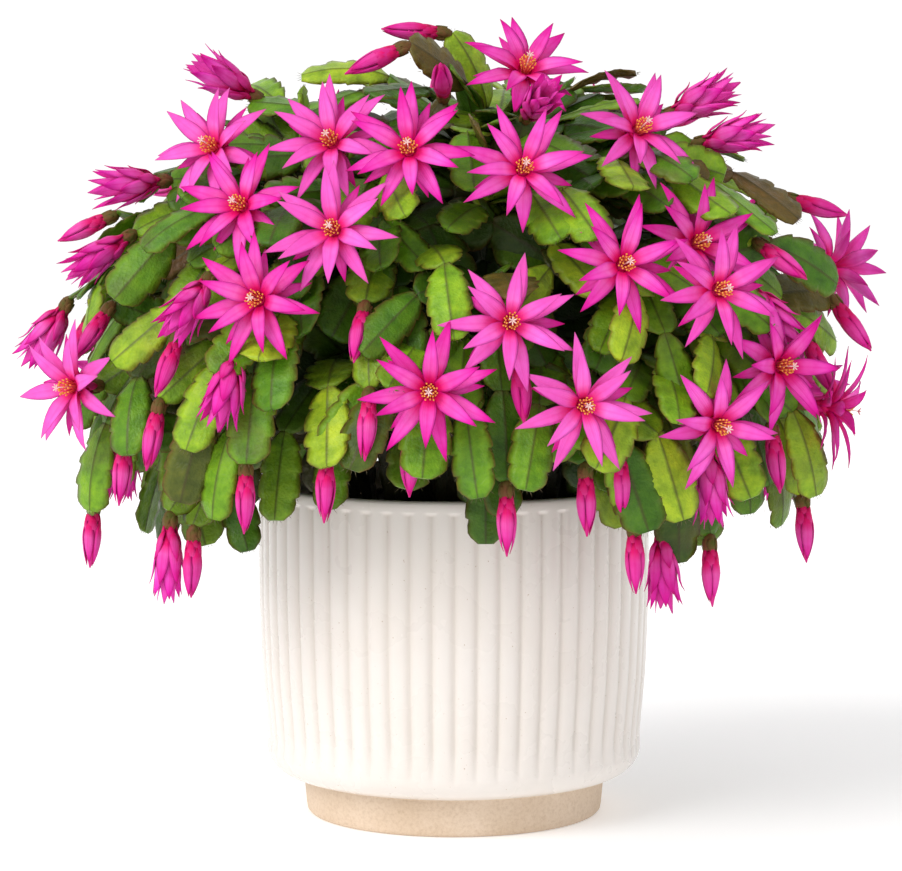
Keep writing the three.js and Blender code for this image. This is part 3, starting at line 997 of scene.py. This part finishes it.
# %% Flower recipes
TUBE = [(1.2, 0.0), (2.2, 1.2), (2.9, 3.6), (2.9, 5.6), (2.1, 8.0)]
COLLAR = [(2.2, 7.4), (2.6, 12.0), (3.4, 16.0), (1.2, 17.0)]
BLOOM_WHORLS = (
    # petals, first turn, foot, angles, length, width, wrap, channel, hue (or the bloom's), wobble
    (6, 0.0, (2.3, 16.0), (16, 48, 64, 70, 76), 24.5, 6.6, 0.0, 0.42, None, 16.0),
    (7, 0.45, (2.6, 14.5), (30, 68, 80, 86, 92), 26.5, 7.0, 0.0, 0.36, None, 14.0),
    (5, 0.2, (2.8, 11.5), (30, 72, 92, 98), 20.0, 5.6, 0.2, 0.25, 0.3, 14.0),
)
HALF_OPEN_ANGLES = np.array((24, 20, 8, 6, 18))
HALF_OPEN_WHORLS = (
    # the same columns, with a share of the half-open angles in place of the angles
    (5, 0.0, (1.8, 14.0), 0.4, 23.0, 7.6, 0.7, 0.1, -0.2, 7.0),
    (6, 0.5, (2.2, 12.5), 1.0, 23.0, 7.6, 0.6, 0.12, 0.0, 10.0),
    (6, 0.2, (2.5, 10.5), 1.35, 20.0, 6.8, 0.5, 0.12, 0.25, 14.0),
    (4, 0.7, (2.5, 8.0), 1.7, 13.0, 5.4, 0.5, 0.1, 0.6, 16.0),
)
BUD_WHORLS = (
    # foot, length, width, hue
    ((2.1, 5.5), 10.5, 5.2, 1.0),
    ((2.4, 7.2), 15.0, 6.0, 0.8),
    ((2.6, 9.5), 19.5, 6.4, 0.5),
)


def add_whorl(sheaf, basis, origin, count, start, foot, angles, length, width, wrap, channel,
              hue=0.0, wobble=4.0, green=0.0):
    for k in range(count):
        turn = start + 2.0 * math.pi * k / count + rng.normal(0.0, 0.05)
        lean = [angle + rng.normal(0.0, wobble * 0.5) * i / len(angles)
                for i, angle in enumerate(angles)]
        add_petal(sheaf, basis, origin, turn, foot, lean, length * rng.uniform(0.93, 1.05),
                  width * rng.uniform(0.9, 1.08), wrap, channel, hue, green)


def add_ovary(sheaf, basis, origin):
    add_turned(sheaf, basis, origin, TUBE, 15, (0.2, 0.4, 0.3, 1.0), flute=0.1)
    add_whorl(sheaf, basis, origin, 5, 0.3, (2.5, 2.2), (14, 4, -2), 5.0, 3.2, 0.9, 0.0, 0.2, 10.0, 1.0)


def add_collar(sheaf, basis, origin):
    add_ovary(sheaf, basis, origin)
    add_turned(sheaf, basis, origin, COLLAR, 12, (0.12, 0.5, 0.2, 0.0))
    add_whorl(sheaf, basis, origin, 4, 0.9, (2.4, 6.4), (16, 14, 24), 8.0, 4.0, 0.8, 0.0, 0.9, 12.0)


def start_flower(axis):
    return Sheaf(), axis_basis(axis, rng.uniform(0.0, 2.0))


def make_bloom(name, node, origin, axis):
    sheaf, basis = start_flower(axis)
    tint = rng.uniform(-0.5, 0.3)
    add_collar(sheaf, basis, origin)
    for *shape, hue, wobble in BLOOM_WHORLS:
        add_whorl(sheaf, basis, origin, *shape, tint if hue is None else hue, wobble)
    sheaf.build(name, [petal_material], node, "petal")


def make_half_open(name, origin, axis, openness):
    sheaf, basis = start_flower(axis)
    add_collar(sheaf, basis, origin)
    for count, start, foot, share, *shape in HALF_OPEN_WHORLS:
        angles = HALF_OPEN_ANGLES * openness * share
        add_whorl(sheaf, basis, origin, count, start, foot, angles, *shape)
    sheaf.build(name, [petal_material], None, "petal")


def make_bud(name, origin, axis, plump):
    sheaf, basis = start_flower(axis)
    add_ovary(sheaf, basis, origin)
    core = [(2.1, 6.0), (3.3 * plump, 11.0), (3.7 * plump, 15.5), (2.9 * plump, 21.0),
            (1.4 * plump, 26.0), (0.3, 30.0)]
    add_turned(sheaf, basis, origin, core, 12, (0.5, 0.9, 0.75, 0.0))
    angles = (20 * plump, 9 * plump, -5, -13, -19)
    for ring, (foot, length, width, hue) in enumerate(BUD_WHORLS):
        add_whorl(sheaf, basis, origin, 4, ring * 0.52, foot, angles, length, width, 0.85, 0.03,
                  hue, 5.0)
    sheaf.build(name, [petal_material], None, "petal")


# %% [markdown]
# Inside each open bloom stands a brush of fine stamens with yellow anthers round a pale stigma
# that ends in a small star. They are modelled as thin tapered rods with a grain at the end.


# %% Stamens and stigma
def make_stamen_material():
    material, tree, shader = node_material("stamens and stigma")
    layer = new_node(tree, "ShaderNodeAttribute", attribute_name="paint")
    grain = ramp(tree, [(0.3, (0.8, 0.78, 0.7)), (0.7, (1.1, 1.1, 1.1))], noise(tree, 1500.0))
    colour = mix_colour(tree, 1.0, layer.outputs["Color"], grain, "MULTIPLY")
    wire(tree, shader, {"Base Color": colour, "Roughness": 0.6})
    return material


stamen_material = make_stamen_material()
STAMENS = 26
THROAT_HEIGHT = 15.0
STIGMA_HEIGHT = 27.5
STIGMA_ARMS = 6
FILAMENT = (0.93, 0.2, 0.12, 1.0)
ANTHER = (0.95, 0.42, 0.07, 1.0)
STIGMA = (0.95, 0.66, 0.66, 1.0)


def add_rod(sheaf, origin, end, radius, colour, sides=4):
    axis = unit(end - origin)
    length = np.linalg.norm(end - origin)
    basis = axis_basis(axis)
    profile = [(radius, 0.0), (radius * 0.85, length * 0.6), (radius * 0.6, length)]
    add_turned(sheaf, basis, origin, profile, sides, colour)


def add_grain(sheaf, centre, axis, radius, length, colour, sides=5):
    basis = axis_basis(axis)
    profile = [(radius * 0.5, -length / 2), (radius, 0.0), (radius * 0.5, length / 2)]
    add_turned(sheaf, basis, centre, profile, sides, colour)


def make_stamens(name, origin, axis):
    sheaf = Sheaf()
    side_x, side_y, _ = axis_basis(axis)
    throat = origin + axis * THROAT_HEIGHT
    for k in range(STAMENS):
        ring = 0.9 + 2.5 * math.sqrt((k + 0.5) / STAMENS)
        turn = math.radians(k * GOLDEN_ANGLE)
        way = side_x * math.cos(turn) + side_y * math.sin(turn)
        end = throat + way * ring * rng.uniform(0.9, 1.15) + axis * (11.5 - ring * 1.1)
        add_rod(sheaf, throat + way * 0.8, end, 0.2, FILAMENT)
        add_grain(sheaf, end, unit(way * 0.3 + axis), 0.42, 1.3, ANTHER)
    top = origin + axis * STIGMA_HEIGHT
    add_rod(sheaf, throat, top, 0.35, STIGMA, 6)
    for k in range(STIGMA_ARMS):
        turn = 2.0 * math.pi * k / STIGMA_ARMS
        way = unit((side_x * math.cos(turn) + side_y * math.sin(turn)) + axis * 0.5)
        add_rod(sheaf, top - axis * 0.2, top + way * 1.8, 0.34, STIGMA, 4)
    sheaf.build(name, [stamen_material], None, "petal")


# %% [markdown]
# Now every tip gets its flower. Blooms replace the star solids of the frame one by one; the
# printed distance says how far a star's middle is from the middle of its solid.

# %% Set the flowers on their tips
counts = {"bloom": 0, "opening": 0, "bud": 0}
worst = 0.0
for spots in CANES:
    for spot in spots:
        kind = spot["kind"]
        counts[kind] += 1
        number = counts[kind]
        origin = stem_end(spot)
        axis = flower_axis(spot)
        if kind == "bloom":
            node = f"bloom_{number:02d}"
            make_bloom(f"flower_{number:02d}", node, origin, axis)
            make_stamens(f"stamens_{number:02d}", origin, axis)
            low, high = (np.array(corner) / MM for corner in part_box(node))
            centre = origin + axis * BLOOM_LENGTH / 2
            worst = max(worst, np.linalg.norm((low + high) / 2 - centre))
        elif kind == "opening":
            make_half_open(f"half_flower_{number:02d}", origin, axis, rng.uniform(0.7, 1.5))
        else:
            make_bud(f"bud_{number:02d}", origin, axis, rng.uniform(0.9, 1.15))
print(counts, "furthest bloom from its solid's middle:", round(worst, 1), "mm")

# %% [markdown]
# ## The pot
#
# The pot was thrown on a wheel and fluted: 56 soft vertical ribs run from just under the rim,
# where each ends in a small round arch, down to the curve of the base, where they fade out.
# The glaze stops at a turned foot of bare clay. A single turned grid carries it all: each row
# is one height of the profile, and the ribs are a wave on the radius.

# %% Pot profile
RIBS = 56
STEPS_PER_RIB = 10
RIB_TOP = 4.6
RIB_DEPTH = 1.3
RIB_CROWN = 2.8
RIB_TOP_FADE = 1.6
ARCH_DROP = 4.2
ARCH_EDGE = 1.2
RIBS_FADE_FROM = 24.0
RIBS_FADE_OVER = 16.0
SOLID_RIB_DEPTH = 0.9
WALL = 4.5
SOIL_GAP = 0.9
rim = POT_HIGH[2]
radius = POT_HIGH[0] - SOLID_RIB_DEPTH
inner = radius - WALL


def arc(centre_r, centre_h, size, start, stop, count):
    turns = np.radians(np.linspace(start, stop, count))
    return [(centre_r + size * math.cos(t), centre_h + size * math.sin(t)) for t in turns]


body_heights = np.linspace(34.0, rim - 13.0, 16)
body_chart = ((16.0, 34.0, 62.0, 95.0, 144.0), (80.0, 80.4, 82.8, 84.0, 84.0))
profile = [(0.01, 0.0), (20.0, 0.0), (40.0, 0.0), (60.0, 0.0), (62.6, 0.3), (63.4, 1.2)]
profile += [(63.6 + 1.3 * t, 1.2 + 14.3 * t) for t in np.linspace(0.15, 1.0, 6)]
clay_rows = len(profile)
profile += [(65.2, 16.3), (66.4, 16.9), (69.0, 17.3)]
profile += arc(68.6, 29.5, 12.2, -78.0, -8.0, 12)
profile += [(float(np.interp(h, *body_chart)) * radius / 84.0, h) for h in body_heights]
profile += [(radius, rim - h) for h in (11.0, 10.0, 9.2, 8.5, 7.9, 7.3, 6.8, 6.3, 5.8, 5.4, 5.0,
                                       4.6, 4.1, 3.4)]
profile += arc(radius - 2.0, rim - 2.0, 2.0, 15.0, 90.0, 6)
profile += arc(inner + 1.8, rim - 1.8, 1.8, 90.0, 180.0, 6)
profile += [(inner - 0.05 * h, rim - 2.0 - h) for h in (4.0, 9.0, 14.0, 20.0)]
pot_radii = np.array([p[0] for p in profile])
pot_heights = np.array([p[1] for p in profile])
print("pot rows:", len(profile), "rim at", round(rim, 1), "mm")

# %% [markdown]
# The rib is convex with a narrow valley on each side, as fingers leave it in soft clay. Its top
# arch comes from letting the rib start lower at its sides than at its middle.

# %% Turn the pot
columns = RIBS * STEPS_PER_RIB
turns = np.linspace(0.0, 2.0 * math.pi, columns, endpoint=False)
phase = (np.arange(columns) % STEPS_PER_RIB) / STEPS_PER_RIB * 2.0 - 1.0
crown = 1.0 - np.abs(phase) ** RIB_CROWN
arch_drop = ARCH_DROP * np.abs(phase) ** 2.0
row_is_outside = (np.arange(len(profile)) >= clay_rows) & (
    np.arange(len(profile)) < len(profile) - 10)
h = pot_heights[:, None]
top_fade = np.clip((rim - RIB_TOP - h) / RIB_TOP_FADE, 0.0, 1.0)
shoulder = np.clip((h - (rim - RIB_TOP - arch_drop[None, :])) / ARCH_EDGE, 0.0, 1.0)
low_fade = np.clip((h - RIBS_FADE_FROM) / RIBS_FADE_OVER, 0.0, 1.0)
valley = np.maximum((1.0 - crown)[None, :], 0.8 * shoulder) * top_fade
valley = valley * low_fade * row_is_outside[:, None]
ring = pot_radii[:, None] + 0.35 - RIB_DEPTH * valley
points = np.stack([ring * np.cos(turns), ring * np.sin(turns),
                   np.broadcast_to(h, ring.shape)], axis=-1)
faces = ring_faces(len(profile), columns)
material_of_face = [int(i < clay_rows) for i in range(len(profile) - 1) for _ in range(columns)]
paint = np.zeros((len(profile), columns, 4))
# The valley depth is painted for the glaze, which darkens there: partly pooled glaze, partly painted
# shade.
paint[..., 0] = valley


# %% [markdown]
# ### Glaze and bare clay
#
# The glaze is a warm off-white with a satin shine. In the valleys it is painted darker, partly for
# glaze that pools there and partly as painted shade, and over the ribs it stays lighter. It carries
# faint specks of iron. The foot is raw stoneware: matte, sandy beige, with a fine tooth.


# %% Glaze and clay
def make_glaze():
    material, tree, shader = node_material("cream glaze")
    pooled_glaze_and_shade = painted(tree)[0]
    cloud = noise(tree, 22.0, 3.0)
    base = ramp(tree, [(0.3, (0.83, 0.77, 0.715)), (0.7, (0.87, 0.82, 0.775))], cloud)
    # Darker in the valleys: partly glaze that pools there, partly painted shade.
    base = mix_colour(tree, maths(tree, "MULTIPLY", pooled_glaze_and_shade, 0.5), base, (0.66, 0.585, 0.51))
    specks = ramp(tree, [(0.0, (0.62, 0.5, 0.4)), (0.2, (0.62, 0.5, 0.4)), (0.24, (1.0, 1.0, 1.0))],
                  noise(tree, 900.0, 1.0))
    base = mix_colour(tree, 0.8, base, specks, "MULTIPLY")
    gloss = maths(tree, "ADD", maths(tree, "MULTIPLY", noise(tree, 45.0), 0.16), 0.2)
    wire(tree, shader, {"Base Color": base, "Roughness": gloss, "Coat Weight": 0.35,
                        "Coat Roughness": 0.22,
                        "Normal": bump(tree, noise(tree, 36.0, 1.0), 0.12, 0.0012)})
    return material


def make_clay():
    material, tree, shader = node_material("bare stoneware")
    grain = noise(tree, 700.0, 4.0, 0.7)
    base = ramp(tree, [(0.25, (0.60, 0.46, 0.34)), (0.5, (0.71, 0.57, 0.44)),
                       (0.8, (0.77, 0.64, 0.52))], grain)
    stains = ramp(tree, [(0.3, (0.9, 0.86, 0.8)), (0.7, (1.05, 1.05, 1.05))], noise(tree, 30.0))
    base = mix_colour(tree, 0.8, base, stains, "MULTIPLY")
    wire(tree, shader, {"Base Color": base, "Roughness": 0.88,
                        "Normal": bump(tree, grain, 0.5, 0.0005)})
    return material


pot_sheaf = Sheaf()
pot_sheaf.add(points.reshape(-1, 3), faces, paint.reshape(-1, 4))
pot_sheaf.build("ribbed_pot", [make_glaze(), make_clay()], "pot", "pot_glaze", material_of_face)

# %% [markdown]
# ## The soil
#
# The potting mix lies a little below the rim: dark peat with crumbs and chips of bark. A turned
# disc with a rolling surface carries the peat, and loose chips are scattered on it.


# %% Soil
def make_soil_material():
    material, tree, shader = node_material("peat and bark")
    base = ramp(tree, [(0.3, (0.012, 0.008, 0.006)), (0.6, (0.045, 0.028, 0.018)),
                       (0.85, (0.12, 0.075, 0.045))], noise(tree, 240.0, 5.0, 0.7))
    wire(tree, shader, {"Base Color": base, "Roughness": 0.92,
                        "Normal": bump(tree, noise(tree, 500.0, 4.0), 0.8, 0.002)})
    return material


SOIL_RINGS = 40
SOIL_SIDES = 160
SOIL_CHIPS = 300
soil_radius = inner - SOIL_GAP
soil = Sheaf()
ring_radii = np.linspace(0.02, soil_radius, SOIL_RINGS)
soil_turns = np.linspace(0.0, 2.0 * math.pi, SOIL_SIDES, endpoint=False)
rr, tt = np.meshgrid(ring_radii, soil_turns, indexing="ij")
sx, sy = rr * np.cos(tt), rr * np.sin(tt)
sz = SOIL_TOP - 0.8 + 0.9 * np.sin(sx * 0.31) * np.cos(sy * 0.27) + 0.5 * np.sin(sx * 1.1 + sy * 0.9)
soil_points = np.stack([sx, sy, sz], axis=-1).reshape(-1, 3)
soil.add(soil_points, ring_faces(SOIL_RINGS, SOIL_SIDES, flip=True),
         np.zeros((len(soil_points), 4)))
for _ in range(SOIL_CHIPS):
    spread = soil_radius * 0.96 * math.sqrt(rng.random())
    turn = rng.uniform(0.0, 2.0 * math.pi)
    height = SOIL_TOP + rng.uniform(-0.6, 0.8)
    centre = np.array([spread * math.cos(turn), spread * math.sin(turn), height])
    add_grain(soil, centre, unit(rng.normal(size=3) * (1.0, 1.0, 0.35)), rng.uniform(0.6, 1.8),
              rng.uniform(2.0, 6.0), (0.0, 0.0, 0.0, 0.0))
soil.build("potting_soil", [make_soil_material()], "soil", "potting_soil")

# %% [markdown]
# ## Count the triangles
#
# The triangles of every mesh that renders are counted. The finished model has to stay
# in the box of the solids.

triangles = 0
for thing in scene.objects:
    if thing.type == "MESH" and not thing.hide_render:
        triangles += sum(len(face.vertices) - 2 for face in thing.data.polygons)
print("triangles in all:", triangles)
